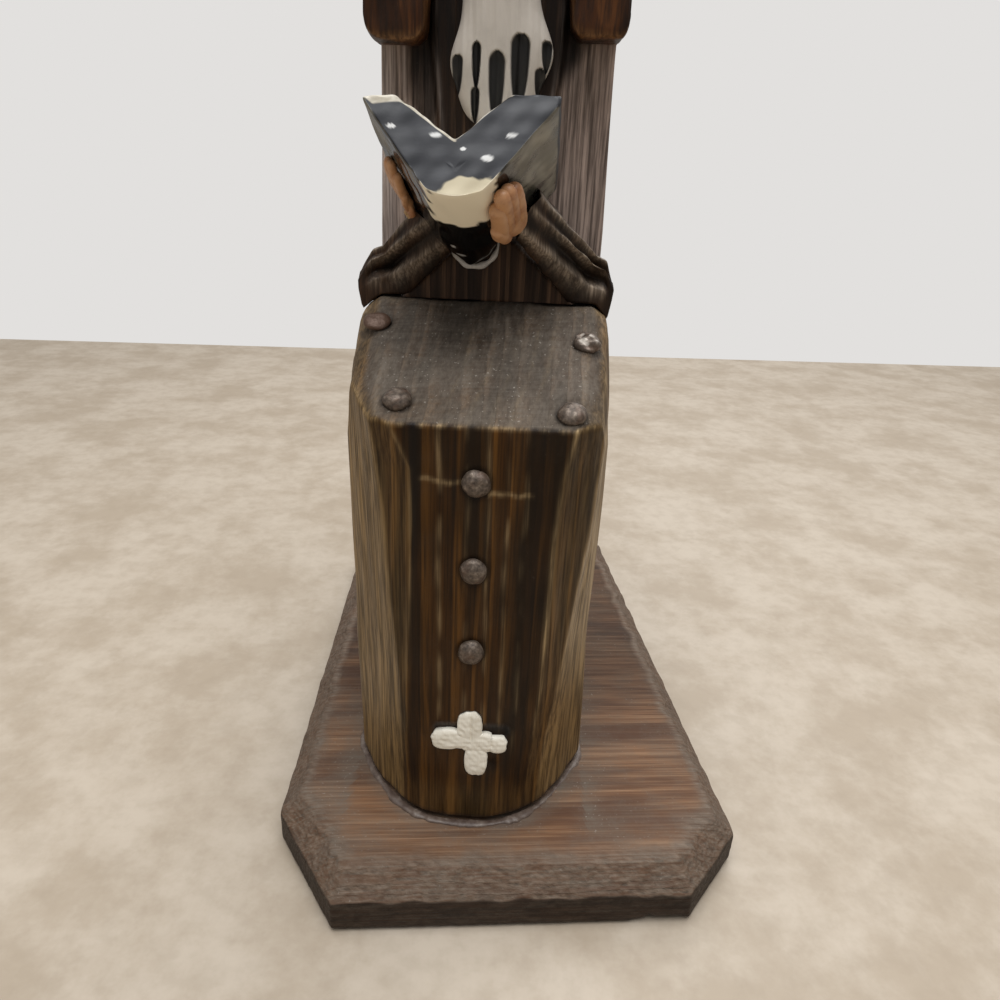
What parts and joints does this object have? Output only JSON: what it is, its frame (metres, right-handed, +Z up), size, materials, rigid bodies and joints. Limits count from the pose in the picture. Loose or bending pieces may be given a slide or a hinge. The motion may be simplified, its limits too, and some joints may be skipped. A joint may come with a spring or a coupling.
{
  "type": "carved wooden figure",
  "caption": "Carved wooden figure of a seated, bearded reader in a hooded cape, holding an open book, pegged and nailed together on a tapered board with a flat back.",
  "frame": {"origin": "middle of the base board's underside", "axes": "+Z up, the figure faces -Y, turned a little towards -X"},
  "size_m": [0.1, 0.152, 0.2285],
  "materials": {
    "board_wood": "reddish brown stain, rasped bevels, satin",
    "dark_wood": "dark walnut stain over straight grain, satin to glossy",
    "cape_wood": "warm brown stain, satin",
    "peg_wood": "bare pale wood",
    "screw_steel": "plain steel",
    "nail_iron": "forged, rusty brown",
    "book_paint": "dark blue-grey and black paint, worn",
    "skin_paint": "skin-coloured paint, satin",
    "beard_paint": "white paint with dark strokes between the locks",
    "cross_paint": "cream paint, matt"
  },
  "bodies": {
    "root": {"base_board": "board_wood", "robe_block": "dark_wood", "torso_block": "dark_wood", "sleeve_left": "dark_wood", "sleeve_right": "dark_wood", "shoulder_cape": "cape_wood", "hood": "cape_wood", "torso_dowel_left": "peg_wood", "torso_dowel_right": "peg_wood", "neck_dowel": "peg_wood", "book_peg": "peg_wood", "wrist_peg_left": "peg_wood", "wrist_peg_right": "peg_wood", "base_screw_front": "screw_steel", "base_screw_rear": "screw_steel", "robe_nail_top": "nail_iron", "robe_nail_middle": "nail_iron", "robe_nail_bottom": "nail_iron", "lap_nail_front_left": "nail_iron", "lap_nail_front_right": "nail_iron", "lap_nail_back_left": "nail_iron", "lap_nail_back_right": "nail_iron", "book": "book_paint", "hand_left": "skin_paint", "hand_right": "skin_paint", "head": "skin_paint", "beard": "beard_paint", "hem_cross": "cross_paint"}
  },
  "joints": []
}
